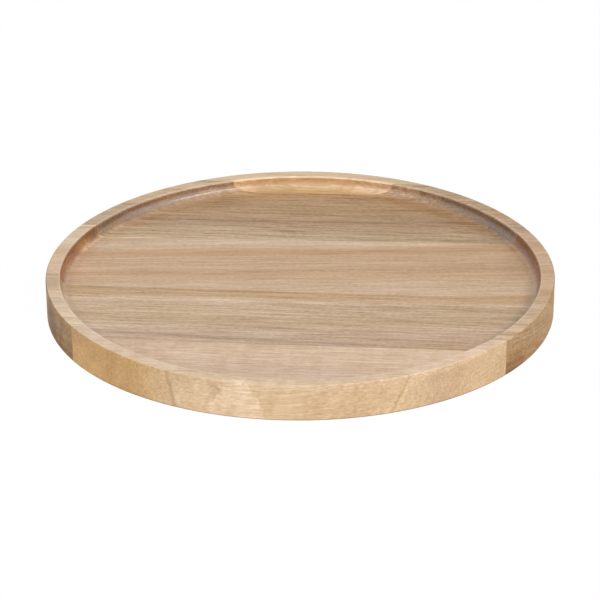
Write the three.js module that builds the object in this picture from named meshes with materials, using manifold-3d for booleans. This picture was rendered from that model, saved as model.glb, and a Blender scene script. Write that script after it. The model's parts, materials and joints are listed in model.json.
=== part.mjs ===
// A round wooden plate. Five acacia staves are glued edge to edge into a panel, and the panel is turned to a disc
// with a shallow recess: flat floor, coved inner wall, flat rim, plain outer wall and sanded edges.
// The grain runs along X, the back of the plate is +Y, and the origin is the centre of the underside.
import * as THREE from "three";
import { mergeVertices } from "three/addons/utils/BufferGeometryUtils.js";
import Module from "manifold-3d";

const wasm = await Module();
wasm.setup();

// Driving dimensions of the turned shape, in millimetres
const PLATE_DIAMETER = 320;
const PLATE_HEIGHT = 24;
const WALL_LEAN = 0.6;
const RIM_WIDTH = 9.2;
const RECESS_DEPTH = 8;
const COVE_RADIUS = 5;
const RIM_EASE = 1;
const FOOT_EASE = 0.5;

// Widths of the staves along the plate's centre line, from the back edge forwards. The front stave is the rest.
const BACK_STAVE_WIDTH = 18.1;
const REAR_STAVE_WIDTH = 72.7;
const MIDDLE_STAVE_WIDTH = 78.5;
const FORE_STAVE_WIDTH = 77;

// The rear stave lies slightly askew in the panel, so the joints along both its sides run at this angle.
const REAR_STAVE_SKEW_DEGREES = 1.5;

// Glue joints: the room left between two staves, and the bare margin on each side of the cured film in it
const GLUE_THICKNESS = 0.2;
const GLUE_CLEARANCE = 0.02;

// A stave blank is longer and thicker than the plate by this much all round before turning.
const TURNING_ALLOWANCE = 10;

// Facets: steps round the plate, and half the steps in each quarter-round of its section
const TURNING_STEPS = 120;
const HALF_ARC_STEPS = 3;

const plateRadius = PLATE_DIAMETER / 2;

// A closed geometry as a solid that can be cut.
function solidOf(geometry) {
  geometry.deleteAttribute("normal");
  geometry.deleteAttribute("uv");
  const merged = mergeVertices(geometry);
  return new wasm.Manifold(
    new wasm.Mesh({
      numProp: 3,
      vertProperties: merged.attributes.position.array,
      triVerts: new Uint32Array(merged.index.array),
    }),
  );
}

// A cut solid as a geometry again.
function geometryOf(solid) {
  const { vertProperties, triVerts } = solid.getMesh();
  const geometry = new THREE.BufferGeometry();
  geometry.setAttribute("position", new THREE.BufferAttribute(vertProperties, 3));
  geometry.setIndex(new THREE.BufferAttribute(triVerts, 1));
  geometry.computeVertexNormals();
  return geometry;
}

// The whole turned plate: half its section, from the centre of the underside round to the centre of the floor,
// swept about Z. The outer wall leans in a little on its way from the rim down to the foot.
function turnedPlate() {
  const floorHeight = PLATE_HEIGHT - RECESS_DEPTH;
  const footRadius = plateRadius - WALL_LEAN;
  const innerRadius = plateRadius - RIM_WIDTH;
  const rimEase = Math.min(RIM_EASE, RIM_WIDTH / 2);
  const cove = Math.min(COVE_RADIUS, RECESS_DEPTH - rimEase);
  const quarter = Math.PI / 2;

  const section = new THREE.Path();
  section.moveTo(0, 0);
  section.lineTo(footRadius - FOOT_EASE, 0);
  section.absarc(footRadius - FOOT_EASE, FOOT_EASE, FOOT_EASE, -quarter, 0, false);
  section.absarc(plateRadius - rimEase, PLATE_HEIGHT - rimEase, rimEase, 0, quarter, false);
  section.absarc(innerRadius + rimEase, PLATE_HEIGHT - rimEase, rimEase, quarter, 2 * quarter, false);
  section.absarc(innerRadius - cove, floorHeight + cove, cove, 0, -quarter, true);
  section.lineTo(0, floorHeight);

  const lathe = new THREE.LatheGeometry(section.getPoints(HALF_ARC_STEPS), TURNING_STEPS);
  return solidOf(lathe.rotateX(quarter));
}

// A blank with straight sides, seen from above between two joints. Each side is a place on the centre line (y)
// and the slope at which it runs across the grain.
function blank(back, front) {
  const reach = plateRadius + TURNING_ALLOWANCE;
  const yAt = (side, x) => side.y + side.slope * x;
  const outline = new THREE.Shape([
    new THREE.Vector2(-reach, yAt(front, -reach)),
    new THREE.Vector2(reach, yAt(front, reach)),
    new THREE.Vector2(reach, yAt(back, reach)),
    new THREE.Vector2(-reach, yAt(back, -reach)),
  ]);
  const depth = PLATE_HEIGHT + 2 * TURNING_ALLOWANCE;
  const board = new THREE.ExtrudeGeometry(outline, { depth, bevelEnabled: false });
  return solidOf(board.translate(0, 0, -TURNING_ALLOWANCE));
}

const shifted = (side, distance) => ({ y: side.y + distance, slope: side.slope });

// Where the joints lie: staves are laid from the back edge forwards for as long as the plate's front edge isn't
// reached, and the front stave takes what is left.
function layStaves() {
  const skew = Math.tan(THREE.MathUtils.degToRad(REAR_STAVE_SKEW_DEGREES));
  const boards = [
    { name: "back", width: BACK_STAVE_WIDTH, slope: skew, color: 0xcaa271 },
    { name: "rear", width: REAR_STAVE_WIDTH, slope: skew, color: 0xb29270 },
    { name: "middle", width: MIDDLE_STAVE_WIDTH, slope: 0, color: 0xceaf91 },
    { name: "fore", width: FORE_STAVE_WIDTH, slope: 0, color: 0xbfa283 },
  ];
  const staves = [];
  let back = { y: plateRadius + TURNING_ALLOWANCE, slope: 0 };
  let edge = plateRadius;
  for (const { name, width, slope, color } of boards) {
    const joint = { y: edge - width, slope };
    const lowestEnd = joint.y - Math.abs(slope) * plateRadius;
    if (lowestEnd <= -plateRadius + RIM_WIDTH) break;
    staves.push({ name, back, front: joint, color });
    back = joint;
    edge = joint.y;
  }
  const frontEdge = { y: -plateRadius - TURNING_ALLOWANCE, slope: 0 };
  staves.push({ name: "front", back, front: frontEdge, color: 0xd6ba9c });
  return staves;
}

function mesh(name, solid, color, roughness) {
  const material = new THREE.MeshStandardMaterial({ color, roughness, metalness: 0 });
  const made = new THREE.Mesh(geometryOf(solid), material);
  made.name = name;
  return made;
}

const WOOD_ROUGHNESS = 0.45;
const GLUE_ROUGHNESS = 0.6;
const GLUE_COLOR = 0x8f6f4e;

const plate = new THREE.Group();
const turned = turnedPlate();
const staves = layStaves();

staves.forEach((stave, index) => {
  const isFirst = index === 0;
  const isLast = index === staves.length - 1;
  const back = isFirst ? stave.back : shifted(stave.back, -GLUE_THICKNESS / 2);
  const front = isLast ? stave.front : shifted(stave.front, GLUE_THICKNESS / 2);
  const board = turned.intersect(blank(back, front));
  plate.add(mesh(`${stave.name}_stave`, board, stave.color, WOOD_ROUGHNESS));

  if (isLast) return;
  const halfFilm = GLUE_THICKNESS / 2 - GLUE_CLEARANCE;
  const film = turned.intersect(blank(shifted(stave.front, halfFilm), shifted(stave.front, -halfFilm)));
  plate.add(mesh(`${stave.name}_glue_line`, film, GLUE_COLOR, GLUE_ROUGHNESS));
});

export default plate;
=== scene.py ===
# %% [markdown]
# # A turned wooden plate
# Five boards of acacia are glued edge to edge, and the panel is turned on a lathe into a round plate with
# a shallow recess. The frame holds the plate at its real size. This lesson gives each board its own smooth
# surface and its own solid wood, so that one pattern runs through floor, rim, wall and underside.

# %% Load the frame
import json
import math

import bmesh
import bpy
import numpy as np
from mathutils import Matrix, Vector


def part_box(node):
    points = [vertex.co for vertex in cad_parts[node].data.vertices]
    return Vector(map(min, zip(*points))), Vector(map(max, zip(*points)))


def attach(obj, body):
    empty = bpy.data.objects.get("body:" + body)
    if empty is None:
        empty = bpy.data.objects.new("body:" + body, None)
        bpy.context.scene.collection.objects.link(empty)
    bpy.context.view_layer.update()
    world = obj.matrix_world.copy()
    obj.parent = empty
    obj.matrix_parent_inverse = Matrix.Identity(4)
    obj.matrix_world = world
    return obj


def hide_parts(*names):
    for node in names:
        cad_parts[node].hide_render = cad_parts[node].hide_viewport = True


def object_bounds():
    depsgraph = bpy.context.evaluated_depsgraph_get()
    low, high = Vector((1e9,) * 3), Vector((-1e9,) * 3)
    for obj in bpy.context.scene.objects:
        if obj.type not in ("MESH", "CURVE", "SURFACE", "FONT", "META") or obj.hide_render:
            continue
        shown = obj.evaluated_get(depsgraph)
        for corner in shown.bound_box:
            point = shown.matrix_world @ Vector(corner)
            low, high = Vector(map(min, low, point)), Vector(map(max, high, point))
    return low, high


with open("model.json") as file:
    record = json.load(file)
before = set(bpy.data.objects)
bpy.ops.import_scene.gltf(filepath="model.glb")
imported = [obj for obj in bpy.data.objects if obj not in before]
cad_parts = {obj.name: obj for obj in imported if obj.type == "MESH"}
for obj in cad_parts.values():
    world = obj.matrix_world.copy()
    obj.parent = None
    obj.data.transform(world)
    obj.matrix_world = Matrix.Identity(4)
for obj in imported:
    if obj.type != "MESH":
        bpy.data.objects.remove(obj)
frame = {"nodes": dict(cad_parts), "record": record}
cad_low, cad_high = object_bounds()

MM = 0.001
print("frame nodes:", sorted(frame["nodes"]))
print("frame box in mm:", [round(v / MM, 1) for v in (*cad_low, *cad_high)])

# %% [markdown]
# ## Sizes
# The outer size, the height of the floor, the width of the rim and the places of the glue joints are read
# from the frame, so the smooth pieces land where the solids are. Only small things are written here: the
# hollow left by the tray cutter at the foot of the inner wall, the edges eased with sandpaper, and how far
# the outer wall leans in from rim to foot.

# %% Sizes from the frame
mounts = {mount["name"]: mount for mount in frame["record"]["mounts"]}
PLATE_RADIUS = cad_high.x
PLATE_HEIGHT = cad_high.z
FLOOR_HEIGHT = mounts["recess_floor"]["pos_m"][2]
RIM_MIDDLE = math.hypot(*mounts["rim_top"]["pos_m"][:2])
INNER_RADIUS = 2 * RIM_MIDDLE - PLATE_RADIUS
COVE_RADIUS = 5 * MM
RIM_EASE = 1 * MM
FOOT_EASE = 0.5 * MM
WALL_LEAN = 0.6 * MM

film_low, film_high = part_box("middle_glue_line")
FILM_THICKNESS = film_high.y - film_low.y
JOINT_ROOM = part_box("middle_stave")[0].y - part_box("fore_stave")[1].y
print(f"glue film {FILM_THICKNESS / MM:.2f} mm thick in a joint of {JOINT_ROOM / MM:.2f} mm")


# %% Places of the glue joints
def joint_line(glue_node):
    """A glue joint seen from above, as its distance from the plate's centre and its tilt off the grain.

    The film runs from corner to corner of its box, so its slope is the box's depth, less the film's
    thickness, over its length. The line is followed to x = 0, and the distance is measured square to it.
    """
    low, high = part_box(glue_node)
    slope = max(high.y - low.y - FILM_THICKNESS, 0) / (high.x - low.x)
    middle = (low + high) / 2
    tilt = math.atan(slope)
    return (middle.y - slope * middle.x) * math.cos(tilt), tilt


JOINTS = {name: joint_line(f"{name}_glue_line") for name in ("back", "rear", "middle", "fore")}
for name, (distance, tilt) in JOINTS.items():
    print(f"{name} joint: {distance / MM:.2f} mm from the centre, tilted {math.degrees(tilt):.2f} degrees")

# %% [markdown]
# ## The turned section
# A lathe cuts one outline, and the plate's whole shape follows from it. The outline could be spun in one
# piece, but then the boards would have to be cut apart, so here it is only drawn. It starts at the edge of
# the floor, rises through the cove, goes over the rim and down the outer wall, and ends at the underside.
# Round stretches are arcs. Straight stretches have their points crowded towards both ends, which keeps the
# shading of the flats flat right up to the roundings.

# %% The outline of half the section
COVE_STEPS = 14
INNER_WALL_STEPS = 4
EASE_STEPS = 8
RIM_STEPS = 8
OUTER_WALL_STEPS = 10
FOOT_STEPS = 6


def arc(centre, radius, start, end, steps):
    """Points on a circle: the centre plus the radius times (cos, sin) of an angle in even steps."""
    angle = np.radians(np.linspace(start, end, steps + 1))
    return np.column_stack([centre[0] + radius * np.cos(angle), centre[1] + radius * np.sin(angle)])


def straight(start, end, steps):
    """Points between two ends, both left out: the share of the way is half of 1 - cos of a half turn."""
    share = 0.5 - 0.5 * np.cos(np.linspace(0, np.pi, steps + 1)[1:-1, None])
    return np.array(start) * (1 - share) + np.array(end) * share


def turned_section():
    """The outline from floor edge to underside, as rows of (distance from the axis, height)."""
    ease_height = PLATE_HEIGHT - RIM_EASE
    foot_radius = PLATE_RADIUS - WALL_LEAN - FOOT_EASE
    cove_centre = (INNER_RADIUS - COVE_RADIUS, FLOOR_HEIGHT + COVE_RADIUS)
    cove = arc(cove_centre, COVE_RADIUS, -90, 0, COVE_STEPS)
    rim_inside = arc((INNER_RADIUS + RIM_EASE, ease_height), RIM_EASE, 180, 90, EASE_STEPS)
    rim_outside = arc((PLATE_RADIUS - RIM_EASE, ease_height), RIM_EASE, 90, 0, EASE_STEPS)
    foot = arc((foot_radius, FOOT_EASE), FOOT_EASE, 0, -90, FOOT_STEPS)
    return np.vstack([
        cove,
        straight(cove[-1], rim_inside[0], INNER_WALL_STEPS),
        rim_inside,
        straight(rim_inside[-1], rim_outside[0], RIM_STEPS),
        rim_outside,
        straight(rim_outside[-1], foot[0], OUTER_WALL_STEPS),
        foot,
    ])


section = turned_section()
print("section points:", len(section))

# %% [markdown]
# ## One board of the panel
# Each stave is the part of the turned shape between two glue joints. A boolean cut of a lathed mesh would
# leave long thin faces, so the surface is worked out directly: a closed cross-section along the grain
# (right end, underside, left end, floor) is carried across the board from its front joint to its back
# joint. On the outline, every point turns about the axis between the angles at which its circle meets the
# two joints.

# %% The surface of one board
BACK_EDGE = 1
FRONT_EDGE = -1


def is_glued(joint):
    """True at a glue joint, and False at the plate's own edge, which is given as one whole number."""
    return not isinstance(joint, int)


def meeting_angle(joint, radius, side):
    """Where circles meet a joint line: the arcsine of distance over radius, turned by the joint's tilt.

    Angles are counted from the right or left end of the grain towards the back. The plate's own edge lies
    a quarter turn to the back or to the front for every circle.
    """
    if not is_glued(joint):
        return np.full_like(radius, joint * np.pi / 2)
    distance, tilt = joint
    return side * tilt + np.arcsin(distance / radius)


def board_grid(front, back, across, along):
    """The closed cross-section carried across a board, as an array of points (across, round, xyz).

    For a share t of the way across, a section point of radius r and height z lies at
    (side * r * cos(angle), r * sin(angle), z), with the angle going evenly in t from joint to joint.
    Floor and underside are filled by straight rows between the two ends.
    """
    radius, height = section.T
    share = np.linspace(0, 1, across + 1)[:, None]

    def end_of_grain(side):
        start, end = (meeting_angle(joint, radius, side) for joint in (front, back))
        angle = (1 - share) * start + share * end
        x = side * radius * np.cos(angle)
        y = radius * np.sin(angle)
        return np.stack([x, y, height + 0 * angle], axis=-1)

    right, left = end_of_grain(1), end_of_grain(-1)
    way = np.linspace(0, 1, along + 1)[None, 1:-1, None]
    underside = right[:, -1:] * (1 - way) + left[:, -1:] * way
    floor = left[:, :1] * (1 - way) + right[:, :1] * way
    return np.concatenate([right, underside, left[:, ::-1], floor], axis=1)


trial_grid = board_grid(JOINTS["middle"], JOINTS["rear"], 1, 2)
print("points round a cross-section, with floor and underside halved:", trial_grid.shape[1])

# %% [markdown]
# ## From grid to object
# A grid of points isn't a solid yet. Neighbouring rows are joined by four-sided faces, and each glue joint
# gets one flat cap. At the front and back edge of the plate a board runs out to nothing, so the points that
# fall together there are merged, and all faces are turned outwards. The shading is smooth, except along the
# true edges at the glue joints.

# %% From grid to object
SHARP_EDGE = math.radians(40)
MERGE_DISTANCE = 0.001 * MM
CUBIC_CENTIMETRE = (10 * MM) ** 3


def close_up(mesh):
    """Merges points that share a place, turns all faces outwards, and gives the volume."""
    shape = bmesh.new()
    shape.from_mesh(mesh)
    bmesh.ops.remove_doubles(shape, verts=shape.verts, dist=MERGE_DISTANCE)
    bmesh.ops.recalc_face_normals(shape, faces=shape.faces)
    volume = shape.calc_volume(signed=True)
    shape.to_mesh(mesh)
    shape.free()
    return volume


def board(name, front, back, across, along):
    """A closed mesh object from a board's grid: quads between cross-sections, and a cap on each joint."""
    points = board_grid(front, back, across, along)
    rows, around = points.shape[:2]
    index = np.arange(rows * around).reshape(rows, around)
    after = np.roll(index, -1, axis=1)
    quads = np.stack([index[:-1], index[1:], after[1:], after[:-1]], axis=-1).reshape(-1, 4)
    ends = ((front, index[0]), (back, index[-1][::-1]))
    caps = [ring.tolist() for joint, ring in ends if is_glued(joint)]
    mesh = bpy.data.meshes.new(name)
    mesh.from_pydata(points.reshape(-1, 3), [], quads.tolist() + caps)
    volume = close_up(mesh)
    mesh.shade_smooth()
    mesh.set_sharp_from_angle(angle=SHARP_EDGE)
    piece = bpy.data.objects.new(name, mesh)
    bpy.context.scene.collection.objects.link(piece)
    print(f"{name}: {len(mesh.polygons)} faces, {volume / CUBIC_CENTIMETRE:.1f} cubic centimetres")
    return piece


print(f"edges sharper than {math.degrees(SHARP_EDGE):.0f} degrees stay sharp")

# %% [markdown]
# ## Boards and glue films
# Two neighbouring boards leave a hair of room between them, and the cured glue fills it. A film has the
# same outline as the boards, so the same function makes it, with a single step across.

# %% The five boards and the four glue films
STAVES = {
    "back": (JOINTS["back"], BACK_EDGE),
    "rear": (JOINTS["rear"], JOINTS["back"]),
    "middle": (JOINTS["middle"], JOINTS["rear"]),
    "fore": (JOINTS["fore"], JOINTS["middle"]),
    "front": (FRONT_EDGE, JOINTS["fore"]),
}
STEPS_ACROSS = 96
STEPS_ALONG = 24


def moved(joint, distance):
    """A joint line moved square to itself. The plate's own edge stays where it is."""
    return (joint[0] + distance, joint[1]) if is_glued(joint) else joint


staves = {}
for name, (front, back) in STAVES.items():
    sides = moved(front, JOINT_ROOM / 2), moved(back, -JOINT_ROOM / 2)
    staves[name] = board(f"{name}_board", *sides, STEPS_ACROSS, STEPS_ALONG)
    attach(staves[name], "root")
    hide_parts(f"{name}_stave")

glue_films = {}
for name, joint in JOINTS.items():
    sides = moved(joint, -JOINT_ROOM / 2), moved(joint, JOINT_ROOM / 2)
    glue_films[name] = board(f"{name}_glue_film", *sides, 1, STEPS_ALONG)
    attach(glue_films[name], "root")
    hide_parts(f"{name}_glue_line")

# %% [markdown]
# ## Writing shader maths as sums
# The nodes of a material could be placed by hand, but five boards share one pattern, and a formula is
# written only once. A Wire is one output of a node, and adding or multiplying wires adds the Math node that
# does so. A Finish is one material, and its node method adds every other kind of node.


# %% Wires
class Wire:
    """An output that takes part in sums: each operator adds a Math node and gives that node's output."""

    def __init__(self, finish, socket):
        self.finish = finish
        self.socket = socket

    def math(self, operation, first, second=0.0):
        return self.finish.node("ShaderNodeMath", {"operation": operation}, {0: first, 1: second})

    def __add__(self, other):
        return self.math("ADD", self, other)

    def __sub__(self, other):
        return self.math("SUBTRACT", self, other)

    def __rsub__(self, other):
        return self.math("SUBTRACT", other, self)

    def __mul__(self, other):
        return self.math("MULTIPLY", self, other)

    def __abs__(self):
        return self.math("ABSOLUTE", self)

    __radd__ = __add__
    __rmul__ = __mul__


print("wires can be added, taken away, multiplied and made positive")

# %% Finishes
WHITE = (1, 1, 1, 1)
# How far a seed moves the noise along each axis.
SEED_STEPS = (1.0, 2.7, 5.1)


class Finish:
    """One material: its node tree, its shader, and one method that adds any node."""

    # A Mix node has sockets for every kind of data. These are the ones for colours.
    MIX_SHARE = 0
    MIX_FIRST = 6
    MIX_SECOND = 7
    MIX_RESULT = 2

    def __init__(self, name):
        self.material = bpy.data.materials.new(name)
        self.material.use_nodes = True
        self.tree = self.material.node_tree
        self.shader = self.tree.nodes["Principled BSDF"]

    def node(self, kind, settings=None, inputs=None, output=0):
        """Adds a node of a kind, sets its settings, then fills or links its inputs, and gives an output."""
        made = self.tree.nodes.new(kind)
        for key, value in (settings or {}).items():
            if key == "stops":
                self.set_stops(made.color_ramp, value)
            else:
                setattr(made, key, value)
        for key, value in (inputs or {}).items():
            self.feed(made.inputs[key], value)
        return Wire(self, made.outputs[output])

    def set_stops(self, ramp, stops):
        """Fills a ramp, which starts out with two stops, with (position, colour) stops."""
        for position, _ in stops[2:]:
            ramp.elements.new(position)
        for element, (position, tint) in zip(ramp.elements, stops):
            element.position = position
            element.color = tint

    def feed(self, socket, value):
        """Links a wire to an input, or writes a plain value there."""
        if isinstance(value, Wire):
            self.tree.links.new(value.socket, socket)
        else:
            socket.default_value = value

    def paint(self, socket_name, value):
        """Feeds one socket of the shader."""
        self.feed(self.shader.inputs[socket_name], value)

    def mix(self, share, first, second, blend="MIX"):
        """A colour between two colours, by a share from 0 to 1."""
        settings = {"data_type": "RGBA", "blend_type": blend, "clamp_factor": True}
        colours = {self.MIX_SHARE: share, self.MIX_FIRST: first, self.MIX_SECOND: second}
        return self.node("ShaderNodeMix", settings, colours, self.MIX_RESULT)

    def between(self, value, low, high):
        """0 below low and 1 above high, with a soft step from one to the other."""
        limits = {"Value": value, "From Min": low, "From Max": high}
        return self.node("ShaderNodeMapRange", {"interpolation_type": "SMOOTHSTEP"}, limits)

    def vector(self, operation, first, second):
        """Vector Math on two vectors."""
        return self.node("ShaderNodeVectorMath", {"operation": operation}, {0: first, 1: second})

    def length(self, vector):
        """The length of a vector."""
        return self.node("ShaderNodeVectorMath", {"operation": "LENGTH"}, {0: vector}, "Value")

    def along(self, axis, vector):
        """One coordinate of a vector."""
        return self.node("ShaderNodeSeparateXYZ", None, {0: vector}, axis)

    def noise(self, place, grain, seed, detail=2.0, output="Fac"):
        """Noise with grains of (x, y, z) millimetres, taken at its own place in the pattern."""
        shift = tuple(seed * step for step in SEED_STEPS)
        moved_on = self.vector("ADD", self.vector("DIVIDE", place, grain), shift)
        pattern = {"Vector": moved_on, "Scale": 1.0, "Detail": detail}
        return self.node("ShaderNodeTexNoise", None, pattern, output)


print("a finish takes any node")

# %% [markdown]
# ## Acacia
# Wood is a solid, so its pattern belongs to the place inside the board and not to its surface. A picture
# wrapped round the board would break at every edge. The fibres run along the board and wander a little.
# Growth rings lie round the pith of the tree, which may be inside the board or far outside it. Cut along
# the grain, rings show as stripes, and cut across it as arcs. Each band of colour is given where the floor
# or the underside cuts through it, and from there it runs on through the whole board.

# %% Fibres and growth bands
FLOOR = FLOOR_HEIGHT / MM
UNDERSIDE = 0.0
SWAY_GRAIN = (150, 50, 50)
SWAY_DETAIL = 1.0


def colour(red, green, blue):
    """A colour as a screen shows it, from 0 to 255, as the linear light that a shader adds up.

    This is the curve that screens use: a straight foot, and a power of 2.4 above it.
    """
    share = np.array([red, green, blue]) / 255
    linear = np.where(share <= 0.04045, share / 12.92, ((share + 0.055) / 1.055) ** 2.4)
    return (*linear.tolist(), 1.0)


def along_fibres(wood, recipe):
    """A place in the board in millimetres, turned so that x follows the grain, and swayed by slow noise."""
    turn, climb = (math.radians(angle) for angle in recipe["grain"])
    place = wood.node("ShaderNodeTexCoord", output="Object")
    turned = {"Vector": place, "Rotation": (0, climb, -turn), "Scale": (1 / MM,) * 3}
    straight_place = wood.node("ShaderNodeMapping", None, turned)
    sway = wood.noise(straight_place, SWAY_GRAIN, recipe["seed"], SWAY_DETAIL, "Color")
    centred = wood.vector("SUBTRACT", sway, (0.5, 0.5, 0.5))
    aside = wood.vector("MULTIPLY", centred, (0, recipe["sway"], recipe["sway"]))
    return wood.vector("ADD", straight_place, aside)


def growth_bands(wood, fibre, recipe):
    """A ramp over the distance from the pith, whose stops are rings that meet the floor or underside."""
    pith_y, pith_z = recipe["pith"]
    cuts = [(y, FLOOR, tint) for y, tint in recipe["floor"]]
    cuts += [(y, UNDERSIDE, tint) for y, tint in recipe["underside"]]
    rings = sorted((math.hypot(y - pith_y, z - pith_z), tint) for y, z, tint in cuts)
    first, last = rings[0][0], rings[-1][0]
    stops = [((ring - first) / (last - first), tint) for ring, tint in rings]
    from_pith = wood.vector("SUBTRACT", fibre, (0, pith_y, pith_z))
    ring = wood.length(wood.vector("MULTIPLY", from_pith, (0, 1, 1)))
    return wood.node("ShaderNodeValToRGB", {"stops": stops}, {0: (ring - first) * (1 / (last - first))})


print(f"bands are placed on the floor at {FLOOR:.0f} mm and the underside at {UNDERSIDE:.0f} mm")

# %% [markdown]
# ## Threads, figure and pores
# Close up, a planed board is made of threads: fibre bundles a little darker or lighter than their
# neighbours. They are noises drawn out along the grain, from two hands long down to a speckle. Curled
# fibres add a figure, a soft mottle that may slant with the height. Acacia also has open pores, which a
# blade cuts into short dark dashes along the grain and into dots across it. They could be drawn one by
# one, but the middles of scattered long cells give them at every place in the solid.

# %% Threads, figure and pores
# Size in millimetres along and across the grain, step of the seed, and weight.
THREADS = (
    ((210, 5, 5), 1, 0.6),
    ((90, 1.8, 1.8), 2, 1.0),
    ((38, 1.0, 1.0), 3, 2.2),
    ((3.0, 1.1, 1.1), 5, 1.2),
)
FIGURE_SEED = 4
FIGURE_DETAIL = 4.0
PORE_CELL = (13, 0.95, 0.95)
PORE_BORDER = 0.30
PORE_CORE = 0.12


def threads(wood, fibre, calm, recipe):
    """How much lighter or darker each thread is: weighted noises round 0, and a slanting figure."""
    seed = recipe["seed"]
    layers = [(wood.noise(fibre, size, seed + step) - 0.5) * weight for size, step, weight in THREADS]
    lines = sum(layers[1:], layers[0])
    slant, size, strength = recipe["figure"]
    lean = wood.node("ShaderNodeCombineXYZ", None, {"X": wood.along("Z", fibre) * -slant})
    slanted = wood.vector("ADD", fibre, lean)
    figure = wood.noise(slanted, size, seed + FIGURE_SEED, FIGURE_DETAIL) - 0.5
    return lines * calm * recipe["threads"] + figure * strength


def pores(wood, fibre):
    """1 inside a pore and 0 outside: the middles of scattered cells that are long along the grain."""
    cells = wood.vector("DIVIDE", fibre, PORE_CELL)
    apart = wood.node("ShaderNodeTexVoronoi", None, {"Vector": cells, "Scale": 1.0}, "Distance")
    return wood.between(apart, PORE_BORDER, PORE_CORE)


print("lengths of the threads in mm:", [size[0] for size, _, _ in THREADS])

# %% [markdown]
# ## Streaks and patches
# Heartwood has streaks where minerals or resin ran along a growth ring. A streak is a thin sheet in the
# board. It may dip, and it fades out at both ends. A patch is an egg with a frayed border. Most patches are
# places where the tree grew darker or paler, and a few are painted shade or painted highlights in and beside
# the hollow. Both are places in the solid, so a streak that leaves the floor comes out again on the wall.

# %% Streaks and patches
FADE = 18.0
STREAK_FRAY_GRAIN = (30, 4, 4)
STREAK_FRAY = 1.5
STREAK_CORE = 0.2
PATCH_FRAY_GRAIN = (7, 3, 9)
PATCH_FRAY = 0.8
PATCH_DETAIL = 3.0


def streak(wood, shade, fibre, sheet):
    """Tints a shade near the sheet y = at + slope * x + dip * height above the floor, from start to end."""
    x, y, z = (wood.along(axis, fibre) for axis in "XYZ")
    (at, slope, dip), width, (start, end), tint = sheet
    ragged = wood.noise(fibre, STREAK_FRAY_GRAIN, at) - 0.5
    apart = abs(y - at - x * slope - (z - FLOOR) * dip + ragged * (STREAK_FRAY * width))
    share = wood.between(apart, width, STREAK_CORE * width)
    share = share * wood.between(x, start - FADE, start + FADE)
    share = share * wood.between(x, end + FADE, end - FADE)
    return wood.mix(share, shade, (*tint, 1), "MULTIPLY")


def patch(wood, shade, fibre, spot):
    """Tints a shade inside an egg: the distance from its middle, counted in its reaches, frayed by noise."""
    middle, reach, border, tint = spot
    inside = wood.vector("DIVIDE", wood.vector("SUBTRACT", fibre, middle), reach)
    fray = wood.noise(fibre, PATCH_FRAY_GRAIN, middle[0], PATCH_DETAIL) - 0.5
    frayed = wood.length(inside) + fray * PATCH_FRAY
    return wood.mix(wood.between(frayed, 1.0, 1.0 - border), shade, (*tint, 1), "MULTIPLY")


print(f"a streak fades over {2 * FADE:.0f} mm at each end")

# %% [markdown]
# ## End grain, what the lathe left, and painted light
# Where the surface looks along the grain, the board drinks more oil, so end grain is darker and more matt,
# and the two ends of a board are seldom alike. The cutter burnishes the hollow until it gleams, and the
# outer wall is calmer than the floor. Light and shade are also painted into the colour: a sheen on the rim
# top that grows towards the left, a highlight on the rim's inner edge, a gleam in the cove and more faintly
# on the floor just before it, which grows towards the left and fades out near the left end, and shade along
# the edge of the foot. These zones follow the lathe and not the grain, so they are found by the distance
# from the axis and the height, each with a soft border.

# %% End grain and turned zones
# What is measured, where the zone starts, and from where on it is full.
BORDERS = {
    "inside": ("radius", INNER_RADIUS + RIM_EASE, INNER_RADIUS + 0.5 * RIM_EASE),
    "near_cove": ("radius", INNER_RADIUS - 1.85 * COVE_RADIUS, INNER_RADIUS - 1.25 * COVE_RADIUS),
    "off_floor": ("z", FLOOR_HEIGHT + 0.1 * MM, FLOOR_HEIGHT + 0.8 * MM),
    "up_cove": ("z", FLOOR_HEIGHT + 0.1 * COVE_RADIUS, FLOOR_HEIGHT + 0.4 * COVE_RADIUS),
    "below_wall": ("z", FLOOR_HEIGHT + 1.1 * COVE_RADIUS, FLOOR_HEIGHT + 0.7 * COVE_RADIUS),
    "past_wall": ("z", PLATE_HEIGHT - RIM_EASE, PLATE_HEIGHT - 0.7 * RIM_EASE),
    "inner_edge": ("radius", INNER_RADIUS + 2 * RIM_EASE, INNER_RADIUS + RIM_EASE),
    "on_top": ("z", PLATE_HEIGHT - 0.5 * RIM_EASE, PLATE_HEIGHT - 0.05 * RIM_EASE),
    "outer_wall": ("radius", PLATE_RADIUS - 2 * MM, PLATE_RADIUS - 1 * MM),
    "low": ("z", 1.0 * MM, 0.4 * MM),
    "foot_edge": ("radius", PLATE_RADIUS - 3 * MM, PLATE_RADIUS - 1.5 * MM),
    "to_left": ("x", 0.6 * PLATE_RADIUS, -PLATE_RADIUS),
    "before_left": ("x", -0.85 * PLATE_RADIUS, -0.65 * PLATE_RADIUS),
}
# Shares of the gleam painted in the cove and of the sheen painted on the rim top, which both grow towards
# the left.
GLEAM_BEFORE_COVE = 0.65
COVE_GLEAM_SHARE = 0.47
COVE_GLEAM_TO_LEFT = 0.3
RIM_SHEEN_SHARE = 0.45


def end_grain(wood, recipe):
    """How far the surface looks along the grain, to the left and to the right, as shares from 0 to 1."""
    turn = math.radians(recipe["grain"][0])
    low, high = recipe["end_from"]
    facing = wood.node("ShaderNodeTexCoord", output="Normal")
    grain_and_facing = {0: facing, 1: (math.cos(turn), math.sin(turn), 0)}
    right = wood.node("ShaderNodeVectorMath", {"operation": "DOT_PRODUCT"}, grain_and_facing, "Value")
    return wood.between(right, -low, -high), wood.between(right, low, high)


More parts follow.
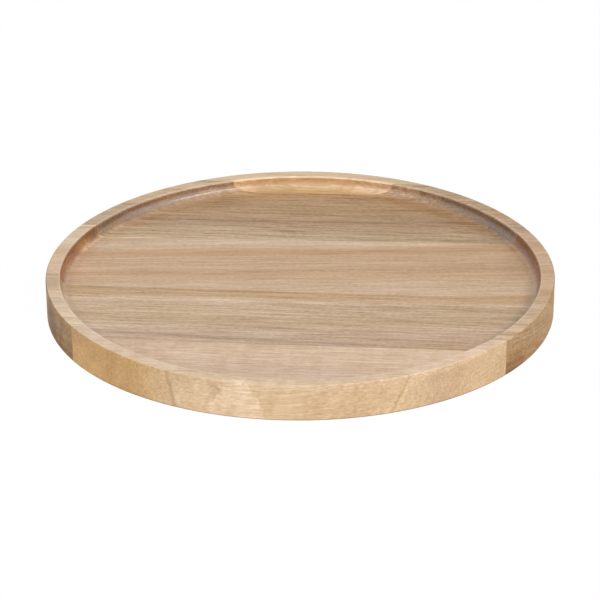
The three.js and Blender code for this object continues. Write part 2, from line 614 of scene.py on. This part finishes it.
def turned_zones(wood):
    """Shares of the places the lathe left different, and of painted light and shade, as products of soft
    steps.
    """
    place = wood.node("ShaderNodeTexCoord", output="Object")
    radius = wood.length(wood.vector("MULTIPLY", place, (1, 1, 0)))
    measured = {"x": wood.along("X", place), "z": wood.along("Z", place), "radius": radius}
    past = {}
    for border, (what, start, full) in BORDERS.items():
        past[border] = wood.between(measured[what], start, full)
    # The gleam is painted here: in the cove, and more faintly on the floor just before it.
    cove = past["inside"] * (GLEAM_BEFORE_COVE * past["near_cove"] + past["up_cove"]) * past["below_wall"]
    # The edge, rim and foot shares carry a painted highlight, a painted sheen and painted shade.
    return {
        "hollow": past["inside"] * past["off_floor"],
        "cove": cove * past["before_left"] * (COVE_GLEAM_SHARE + COVE_GLEAM_TO_LEFT * past["to_left"]),
        "edge": past["past_wall"] * past["inner_edge"],
        "rim": past["on_top"] * (RIM_SHEEN_SHARE + past["to_left"]),
        "wall": past["outer_wall"],
        "foot": past["low"] * past["foot_edge"],
    }


print("soft borders:", len(BORDERS))

# %% [markdown]
# ## The wood of one board
# Bands, threads, streaks, patches and pores give the wood's own colour, except a few patches that are
# painted shade or painted highlights. End grain comes after them, with the pale veil that end_haze lays on
# it, because both lie on the finished surface. The painted sheen, highlight, gleam and shade come last. The
# face is oiled and rubbed to a satin. Dark threads are a little rougher than pale ones, and the relief of
# threads and pores is far finer than a hair, so a bump is enough for it.

# %% The wood of one board
# A thread that is lighter gains the most in blue and the least in red, so dark threads are warmer.
THREAD_TINT = (0.76, 1.0, 1.38)
PORE_TINT = (0.60, 0.54, 0.48, 1)
# Painted shade along the edge of the foot, where the plate meets the table.
FOOT_PAINTED_SHADE = (0.52, 0.50, 0.48, 1)
# The tint of the pale veil on end grain, and of the painted sheen and highlight.
SHEEN_AND_HAZE = (1.0, 0.96, 0.86, 1)
# How strong the sheen painted on the rim top is.
RIM_SHEEN = 0.08
WALL_CALM = 0.2
FACE_ROUGHNESS = 0.34
END_GRAIN_ROUGHENING = 0.36
HOLLOW_GLEAM = 0.12
THREAD_GLEAM = 0.15
RELIEF_STRENGTH = 0.2
RELIEF_HEIGHT = 0.05 * MM
PORE_DEPTH = 0.5


def tinted_wood(wood, fibre, tone, pore, recipe):
    """The colour before sanding: bands, lighter and darker threads, streaks, patches and pores."""
    shade = growth_bands(wood, fibre, recipe)
    lightness = {0: THREAD_TINT, "Scale": tone + wood.along("X", fibre) * recipe["lean"]}
    gain = wood.node("ShaderNodeVectorMath", {"operation": "SCALE"}, lightness)
    shade = wood.vector("MULTIPLY", shade, wood.vector("ADD", gain, (1, 1, 1)))
    for sheet in recipe["streaks"]:
        shade = streak(wood, shade, fibre, sheet)
    for spot in recipe["patches"]:
        shade = patch(wood, shade, fibre, spot)
    return wood.mix(pore * recipe["pores"], shade, PORE_TINT, "MULTIPLY")


def acacia(name, recipe):
    """Solid acacia after a recipe, with a satin oiled face, and with light and shade painted in places."""
    wood = Finish(name)
    fibre = along_fibres(wood, recipe)
    zones = turned_zones(wood)
    tone = threads(wood, fibre, 1 - zones["wall"] * WALL_CALM, recipe)
    pore = pores(wood, fibre)
    shade = tinted_wood(wood, fibre, tone, pore, recipe)

    left, right = end_grain(wood, recipe)
    both_ends = left + right
    kept = 1 - zones["wall"] * (1 - recipe["wall_ends"])
    for share, tint in zip((left, right), recipe["ends"]):
        shade = wood.mix(share * kept, shade, (*tint, 1), "MULTIPLY")
    # Painted shade along the foot's edge.
    shade = wood.mix(zones["foot"], shade, FOOT_PAINTED_SHADE, "MULTIPLY")
    # A gleam painted in the cove, stronger towards the left.
    shade = wood.mix(zones["cove"] * recipe["cove_haze"], shade, WHITE, "ADD")
    # A sheen painted on the rim top and a highlight painted on its inner edge, with the end grain's pale
    # veil.
    painted_sheen_and_highlight = zones["rim"] * RIM_SHEEN + zones["edge"] * recipe["edge_haze"]
    sheen_and_haze = painted_sheen_and_highlight + both_ends * recipe["end_haze"]
    wood.paint("Base Color", wood.mix(sheen_and_haze, shade, SHEEN_AND_HAZE, "ADD"))

    rough = FACE_ROUGHNESS + both_ends * END_GRAIN_ROUGHENING * (1 - zones["hollow"])
    wood.paint("Roughness", rough - zones["hollow"] * HOLLOW_GLEAM - tone * THREAD_GLEAM)
    relief = {"Strength": RELIEF_STRENGTH, "Distance": RELIEF_HEIGHT, "Height": tone - pore * PORE_DEPTH}
    wood.paint("Normal", wood.node("ShaderNodeBump", None, relief))
    return wood.material


print("the wood is ready to be mixed")

# %% [markdown]
# ## Recipes for the boards
# The boards come from different trees, which is what makes such a plate lively. One wood with other
# numbers is enough for all five. Places are in millimetres from the plate's centre, with x along the grain,
# y to the back and z up.
#
# - slot is the part's name for the material, which nothing in this script reads, and seed gives the board
#   its own place in every noise.
# - pith is the middle of the rings (y, z), grain is how far the fibres turn and climb in degrees, and sway
#   is how far they wander.
# - floor and underside list the bands: where a ring comes out on that face, and its colour.
# - threads and pores are strengths, figure is (slant, size, strength), and lean is how much lighter the
#   board gets along x.
# - A streak is its sheet (place, slope, dip), width, start and end along the grain, and tint.
# - A patch is its middle, reach, softness of the border, and tint.
# - ends are the tints of the left and right end grain. It starts and is full where the surface looks along
#   the grain as far as end_from says, and wall_ends is the share of it on the outer wall.
# - end_haze is a pale veil on end grain, and the two keys after it are the gleam painted in the cove
#   and the highlight painted on the rim's inner edge.

# %% A place for the recipes
RECIPES = {}


def add_recipe(name, recipe):
    """Keeps a board's recipe, and prints how many bands, streaks and patches it has."""
    RECIPES[name] = recipe
    print(name, "board:", {part: len(recipe[part]) for part in ("floor", "streaks", "patches")})


# %% [markdown]
# ### The honey board at the back
# Only a sliver of this board is left on the floor. What is seen is its inner wall, dark gold above, with
# shade painted under the rim, and its cove with a pale gleam, partly painted.

# %% Recipe of the honey board
add_recipe("back", {
    "slot": "acacia_honey", "seed": 3.0, "pith": (100, -80), "grain": (0.0, 0.5), "sway": 6.0,
    "floor": [(141, colour(228, 189, 138)), (149, colour(222, 183, 132)), (160, colour(224, 188, 142))],
    "underside": [(130, colour(205, 164, 114)), (141, colour(222, 182, 130))],
    "threads": 0.42, "figure": (0.0, (4, 5, 5), 0.10), "pores": 0.2, "lean": 0.0,
    "streaks": [],
    "patches": [
        # This first egg is painted shade on the upper inner wall, under the rim.
        ((0, 148, 20.5), (75, 10, 3.2), 0.3, (0.87, 0.80, 0.74)),
        ((-30, 146, 17.0), (18, 7, 3.0), 0.4, (0.88, 0.87, 0.85)),
        # This egg is a painted highlight in the cove.
        ((42, 147, 18.5), (24, 8, 5), 0.4, (1.09, 1.15, 1.32)),
    ],
    "ends": ((0.76, 0.70, 0.64), (0.90, 0.84, 0.80)), "end_from": (0.2, 0.9), "wall_ends": 1.0,
    "end_haze": 0.03, "cove_haze": 0.07, "edge_haze": 0.26,
})

# %% [markdown]
# ### The brown-grey board
# It has the darkest floor, with grey-brown streaks and a few thin pale lines. Its end grain is purplish in
# the hollow at both sides, and the rim above it is paler.

# %% Recipe of the brown-grey board
add_recipe("rear", {
    "slot": "acacia_brown", "seed": 11.0, "pith": (40, -100), "grain": (0.0, 0.4), "sway": 6.0,
    "floor": [
        (70, colour(208, 177, 139)), (86, colour(194, 159, 118)), (96, colour(184, 145, 103)),
        (108, colour(185, 146, 100)), (118, colour(180, 140, 92)), (141, colour(192, 154, 112)),
    ],
    "underside": [(70, colour(176, 134, 88)), (84, colour(190, 150, 104)), (96, colour(182, 140, 92))],
    "threads": 0.80, "figure": (0.0, (4, 4, 4), 0.12), "pores": 0.3, "lean": -0.0008,
    "streaks": [
        ((105, -0.02, 0.6), 6.0, (30, 170), (0.87, 0.84, 0.78)),
        ((97.5, 0.0, 0.6), 2.4, (2, 40), (0.87, 0.83, 0.80)),
        ((94.5, 0.0, 0.6), 4.5, (-150, -25), (0.92, 0.90, 0.95)),
        ((72.3, 0.035, 0.6), 3.5, (25, 118), (0.78, 0.76, 0.58)),
        ((104.0, 0.0, 0.6), 0.9, (-95, -60), (1.12, 1.15, 1.20)),
        ((85.0, 0.0, 0.6), 0.9, (-95, -55), (1.10, 1.13, 1.16)),
    ],
    "patches": [
        ((116, 106, 26), (42, 38, 6), 0.4, (1.19, 1.23, 1.29)),
        # This egg and the next two are painted highlight in the hollow, where the gleam lies.
        ((58, 139, 20), (14, 6, 4), 0.4, (1.30, 1.35, 1.46)),
        ((75, 130, 20), (10, 8, 3), 0.6, (1.20, 1.20, 1.20)),
        ((-71, 133, 21), (10, 8, 2.6), 0.6, (1.28, 1.32, 1.34)),
        ((82, 112, 15.6), (46, 34, 3), 0.8, (1.03, 1.05, 1.13)),
        ((-84, 116, 16.6), (46, 30, 3), 0.8, (0.99, 1.01, 1.08)),
        ((121, 88, 19.2), (18, 23, 4.4), 0.5, (0.72, 0.73, 0.74)),
        ((-102, 120, 26), (37, 24, 6), 0.3, (1.22, 1.24, 1.23)),
        ((-138, 76, 26), (16, 14, 6), 0.3, (0.90, 0.90, 0.87)),
        ((-128, 79, 19.8), (10, 13, 2.2), 0.5, (1.18, 1.12, 0.86)),
        ((-127, 78, 22.3), (12, 16, 2.2), 0.5, (0.74, 0.70, 0.58)),
    ],
    "ends": ((0.51, 0.45, 0.49), (0.47, 0.40, 0.42)), "end_from": (0.1, 0.6), "wall_ends": 1.0,
    "end_haze": 0.045, "cove_haze": 0.11, "edge_haze": 0.15,
})

# %% [markdown]
# ### The pinkish board
# It runs through the plate's centre. Its fibres lie five degrees askew, so its two darker bands slant across
# the floor. Its end grain is reddish brown inside the rim, with golden places at the left.

# %% Recipe of the pinkish board
add_recipe("middle", {
    "slot": "acacia_pink", "seed": 23.0, "pith": (-40, -110), "grain": (5.0, 0.4), "sway": 4.0,
    "floor": [
        (-17, colour(221, 188, 153)), (14, colour(213, 173, 131)), (21.5, colour(203, 160, 114)),
        (29, colour(211, 171, 130)), (45, colour(213, 173, 132)), (52.5, colour(200, 155, 107)),
        (60, colour(219, 184, 146)), (66, colour(223, 190, 156)), (76, colour(212, 177, 138)),
    ],
    "underside": [(-10, colour(204, 160, 112)), (10, colour(214, 172, 128)), (24, colour(206, 162, 112))],
    "threads": 0.41, "figure": (0.0, (3, 3, 3), 0.32), "pores": 0.25, "lean": -0.0005,
    "streaks": [
        ((69.7, -0.051, 0.0), 1.3, (-170, -86), (1.30, 1.32, 1.36)),
        ((66.9, -0.051, 0.0), 1.4, (-170, -92), (0.90, 0.88, 0.85)),
        ((65.5, -0.061, 0.0), 3.0, (15, 110), (1.06, 1.08, 1.11)),
        ((51.5, 0.0, 0.6), 3.0, (40, 170), (0.97, 0.94, 0.84)),
    ],
    "patches": [
        ((-147.5, 24, 19.8), (8, 26, 2.8), 0.4, (1.60, 1.66, 1.20)),
        ((-138.5, 57, 19.8), (8, 22, 2.8), 0.4, (1.50, 1.54, 1.14)),
        ((149, 13, 19), (4.5, 16, 3), 0.4, (1.30, 1.32, 1.14)),
        ((145, 56, 24.5), (9, 12, 3.5), 0.4, (0.88, 0.85, 0.80)),
        # The last egg is painted shade on the floor beside the right wall.
        ((137, 30, 15), (14, 38, 4), 1.0, (0.88, 0.87, 0.86)),
    ],
    "ends": ((0.44, 0.255, 0.16), (0.38, 0.22, 0.11)), "end_from": (0.2, 0.8), "wall_ends": 0.5,
    "end_haze": 0.01, "cove_haze": 0.02, "edge_haze": 0.04,
})

# %% [markdown]
# ### The olive board
# Its end grain shows on the outer wall at both sides: dark at the left, with a paler spot by the joint, and
# olive with slanting ring lines at the right.

# %% Recipe of the olive board
add_recipe("fore", {
    "slot": "acacia_olive", "seed": 37.0, "pith": (-88, -90), "grain": (0.0, 0.4), "sway": 6.0,
    "floor": [
        (-86, colour(201, 166, 131)), (-63, colour(212, 179, 147)), (-48, colour(205, 170, 128)),
        (-40, colour(209, 176, 138)), (-29, colour(210, 176, 138)), (-24, colour(219, 186, 150)),
        (-18, colour(203, 164, 119)), (-10, colour(202, 163, 115)),
    ],
    "underside": [
        (-86, colour(170, 124, 90)), (-72, colour(182, 138, 100)), (-64, colour(204, 164, 120)),
        (-57, colour(184, 142, 104)), (-50, colour(208, 170, 126)), (-43, colour(190, 150, 110)),
        (-37, colour(208, 170, 126)),
    ],
    "threads": 0.66, "figure": (0.0, (4, 5, 5), 0.12), "pores": 0.3, "lean": -0.0005,
    "streaks": [
        ((-26.0, 0.0, 1.6), 2.6, (35, 170), (0.84, 0.81, 0.76)),
        ((-81.2, -0.07, -0.3), 4.0, (-170, 50), (0.82, 0.80, 0.84)),
        ((-46.0, 0.0, -5.0), 3.0, (124, 175), (0.78, 0.75, 0.68)),
        ((-60.0, 0.0, -5.0), 3.0, (124, 175), (0.80, 0.78, 0.72)),
        ((-74.0, 0.0, -5.0), 3.5, (124, 175), (0.84, 0.81, 0.74)),
    ],
    "patches": [
        ((-157, -52, 8), (14, 17, 20), 0.3, (0.66, 0.66, 0.72)),
        ((-139, -74, 12), (12, 7, 5), 0.3, (1.14, 1.18, 1.16)),
        ((140, -78, 2), (40, 14, 9), 0.3, (0.82, 0.74, 0.70)),
        ((134, -78, 26), (34, 16, 6), 0.3, (1.12, 1.13, 1.17)),
        ((-155, -20, 25), (14, 14, 4), 0.3, (0.86, 0.87, 0.87)),
        ((-134, -78, 26), (34, 16, 6), 0.3, (1.14, 1.15, 1.17)),
    ],
    "ends": ((0.62, 0.55, 0.43), (0.80, 0.76, 0.65)), "end_from": (0.3, 0.9), "wall_ends": 1.0,
    "end_haze": 0.0, "cove_haze": 0.0, "edge_haze": 0.06,
})

# %% [markdown]
# ### The blond board at the front
# Most of the wall seen from the front belongs to this board. Its figure leans with the height. Left of the
# middle stand two pale flames, one with a sharp border. Two thin dark lines cross the wall, and three faint
# slanting ones lie at its right end.

# %% Recipe of the blond board
add_recipe("front", {
    "slot": "acacia_blond", "seed": 53.0, "pith": (-99, 4), "grain": (0.0, 3.0), "sway": 5.0,
    "floor": [
        (-99, colour(231, 198, 164)), (-116, colour(221, 186, 153)), (-128, colour(219, 187, 157)),
        (-140, colour(226, 194, 155)), (-156, colour(219, 187, 147)), (-160, colour(226, 195, 155)),
    ],
    "underside": [],
    "threads": 0.40, "figure": (0.5, (8, 30, 16), 0.46), "pores": 0.2, "lean": 0.0,
    "streaks": [
        ((-144.7, 0.0, 0.12), 0.8, (-100, -40), (0.82, 0.76, 0.66)),
        ((-140.5, 0.0, 0.23), 0.9, (45, 105), (0.88, 0.83, 0.75)),
        ((-56.0, 0.0, 4.6), 3.0, (106, 160), (0.92, 0.88, 0.78)),
        ((-42.0, 0.0, 4.6), 2.6, (106, 160), (0.91, 0.87, 0.77)),
        ((-28.0, 0.0, 4.6), 3.0, (106, 160), (0.92, 0.88, 0.78)),
    ],
    "patches": [
        ((-26, -158, 6), (17, 14, 22), 0.1, (1.17, 1.22, 1.33)),
        ((-52, -152, 8), (17, 14, 22), 0.4, (1.12, 1.13, 1.17)),
        ((104, -118, 19.5), (45, 26, 5.5), 0.3, (1.14, 1.15, 1.16)),
        ((-100, -119, 29), (40, 20, 5), 0.4, (0.99, 0.96, 0.90)),
        ((52, -150, 8), (24, 14, 22), 0.4, (0.95, 0.92, 0.88)),
        ((25, -152, 22.7), (75, 12, 7), 0.6, (1.04, 1.05, 1.12)),
    ],
    "ends": ((0.94, 0.82, 0.54), (0.88, 0.87, 0.78)), "end_from": (0.38, 0.60), "wall_ends": 1.0,
    "end_haze": 0.0, "cove_haze": 0.0, "edge_haze": 0.06,
})

# %% Wood on the boards
for name, recipe in RECIPES.items():
    staves[name].data.materials.append(acacia(f"acacia_{name}", recipe))
    print(name, "stave:", len(staves[name].data.materials[0].node_tree.nodes), "nodes of wood")

# %% [markdown]
# ## Glue
# Cured wood glue shows only as a hair line, a little darker and more matt than the oiled wood beside it. One
# noise is enough to keep it from looking drawn with a ruler.

# %% The glue lines' finish
GLUE_DARK = colour(180, 140, 98)
GLUE_LIGHT = colour(208, 170, 126)
GLUE_GRAIN = (12, 3, 3)
GLUE_SEED = 71.0
GLUE_ROUGHNESS = 0.45
GLUE_ROUGHENING = 0.2

glue = Finish("cured_glue")
glue_object = glue.node("ShaderNodeTexCoord", output="Object")
glue_place = glue.node("ShaderNodeMapping", None, {"Vector": glue_object, "Scale": (1 / MM,) * 3})
glue_tone = glue.noise(glue_place, GLUE_GRAIN, GLUE_SEED)
glue.paint("Base Color", glue.mix(glue_tone, GLUE_DARK, GLUE_LIGHT))
glue.paint("Roughness", GLUE_ROUGHNESS + glue_tone * GLUE_ROUGHENING)
for film in glue_films.values():
    film.data.materials.append(glue.material)
print("glue finish on", len(glue_films), "films")

# %% [markdown]
# ## Camera
# The plate is seen from the front, about 25 degrees above the table, through a long lens. The lens stands
# far away, so the far rim is hardly smaller than the near one. The camera could be aimed by a constraint,
# but its slight pitch and roll are easier to give as turned axes.

# %% Camera
CAMERA_DISTANCE = 25 * PLATE_RADIUS
CAMERA_AZIMUTH = math.radians(4.86)
CAMERA_ELEVATION = math.radians(25.22)
CAMERA_PITCH = math.radians(0.081)
CAMERA_ROLL = math.radians(0.239)
CAMERA_STEP = -0.18 * MM
FOCAL_PIXELS = 6347.7
IMAGE_PIXELS = 600
SENSOR = 36.0
FAR_CLIP = 100


def turned_pair(first, second, angle):
    """Two square axes turned in their plane: each by the cosine, less or plus the other by the sine."""
    cosine, sine = math.cos(angle), math.sin(angle)
    return first * cosine - second * sine, second * cosine + first * sine


def camera_axes():
    """Right, up, back and place of the camera: square to its line of sight, then tipped up and rolled."""
    azimuth, elevation = CAMERA_AZIMUTH, CAMERA_ELEVATION
    right = np.array([math.cos(azimuth), math.sin(azimuth), 0])
    level = np.array([math.sin(azimuth), -math.cos(azimuth), 0]) * math.cos(elevation)
    back = level + np.array([0, 0, math.sin(elevation)])
    place = back * CAMERA_DISTANCE + right * CAMERA_STEP
    up = np.cross(back, right)
    back, up = turned_pair(back, up, CAMERA_PITCH)
    right, up = turned_pair(right, up, CAMERA_ROLL)
    return right, up, back, place


def pose_matrix(right, up, back, place):
    """The matrix of a camera or lamp, which looks against its back axis."""
    return Matrix(np.column_stack([right, up, back, place]).tolist() + [[0, 0, 0, 1]])


lens = bpy.data.cameras.new("long_lens")
lens.sensor_width = SENSOR
lens.lens = FOCAL_PIXELS * SENSOR / IMAGE_PIXELS
lens.clip_end = FAR_CLIP
camera = bpy.data.objects.new("camera", lens)
camera.matrix_world = pose_matrix(*camera_axes())
bpy.context.scene.collection.objects.link(camera)
bpy.context.scene.camera = camera
print(f"lens {lens.lens:.0f} mm at {CAMERA_DISTANCE:.2f} m")

# %% [markdown]
# ## Table and light
# A white studio: the table and the surroundings are white to the camera and to reflections, and the table
# still takes the plate's shadow. Brighter lamps would also make the table white, but they would bleach the
# wood. Two softboxes stand in front, one at each side, and look down about 35 degrees. They draw the gleam
# in the hollow at the back, which a gleam painted into the wood makes stronger. The white surroundings fill
# the rest and lay a sheen on the floor.

# %% Table
TABLE_SIZE = 8.0
TABLE_DROP = 0.1 * MM
TABLE_WHITE = (0.88, 0.88, 0.88, 1)
TABLE_ROUGHNESS = 0.9
BACKGROUND_SHARE = 0.99


def flat_square(name, size, height):
    """A square of two by two corners: x and y at plus and minus half the size, all at one height."""
    corner = np.array([-0.5, 0.5]) * size
    x, y = (axis.ravel() for axis in np.meshgrid(corner, corner))
    mesh = bpy.data.meshes.new(name)
    mesh.from_pydata(np.column_stack([x, y, 0 * x + height]), [], [(0, 1, 3, 2)])
    made = bpy.data.objects.new(name, mesh)
    bpy.context.scene.collection.objects.link(made)
    return made


def seen_directly(finish):
    """1 for rays from the camera, a mirror or glass, and 0 for light that surfaces pass to each other."""
    kinds = ("Is Camera Ray", "Is Glossy Ray", "Is Transmission Ray")
    rays = [finish.node("ShaderNodeLightPath", output=kind) for kind in kinds]
    return sum(rays[1:], rays[0])


table = flat_square("table", TABLE_SIZE, -TABLE_DROP)
white = Finish("white_table")
white.paint("Base Color", TABLE_WHITE)
white.paint("Roughness", TABLE_ROUGHNESS)
glow = white.node("ShaderNodeEmission", None, {"Color": WHITE, "Strength": 1.0})
plain = Wire(white, white.shader.outputs[0])
seen = seen_directly(white) * BACKGROUND_SHARE
surface = white.node("ShaderNodeMixShader", None, {0: seen, 1: plain, 2: glow})
white.feed(white.tree.nodes["Material Output"].inputs["Surface"], surface)
table.data.materials.append(white.material)
print("table", TABLE_SIZE, "m")

# %% Surroundings
FILL_LIGHT = 0.4


class Surroundings(Finish):
    """The world's node tree, with the same way of adding nodes."""

    def __init__(self, name):
        self.world = bpy.data.worlds.new(name)
        self.world.use_nodes = True
        self.tree = self.world.node_tree
        self.shader = self.tree.nodes["Background"]


studio = Surroundings("white_studio")
studio.paint("Color", WHITE)
studio.paint("Strength", FILL_LIGHT + seen_directly(studio) * (1 - FILL_LIGHT))
bpy.context.scene.world = studio.world
print("fill light", FILL_LIGHT)

# %% Softboxes
# Place in metres, width and height in metres, and power in watts.
SOFTBOXES = {
    "right_softbox": ((1.51, -1.26, 1.38), 1.7, 0.6, 26),
    "left_softbox": ((-0.98, -1.70, 1.38), 1.4, 0.6, 13),
}


def soft_light(name, place, width, height, watts):
    """A lamp with level edges that faces the plate's centre from its place."""
    lamp = bpy.data.lights.new(name, "AREA")
    lamp.shape = "RECTANGLE"
    lamp.size = width
    lamp.size_y = height
    lamp.energy = watts
    back = np.array(place) / np.linalg.norm(place)
    right = np.cross((0, 0, 1), back)
    right = right / np.linalg.norm(right)
    made = bpy.data.objects.new(name, lamp)
    made.matrix_world = pose_matrix(right, np.cross(back, right), back, np.array(place))
    made.visible_camera = False
    bpy.context.scene.collection.objects.link(made)
    print(name, place, watts, "W")


for name, settings in SOFTBOXES.items():
    soft_light(name, *settings)

bpy.context.scene.view_settings.view_transform = "Standard"
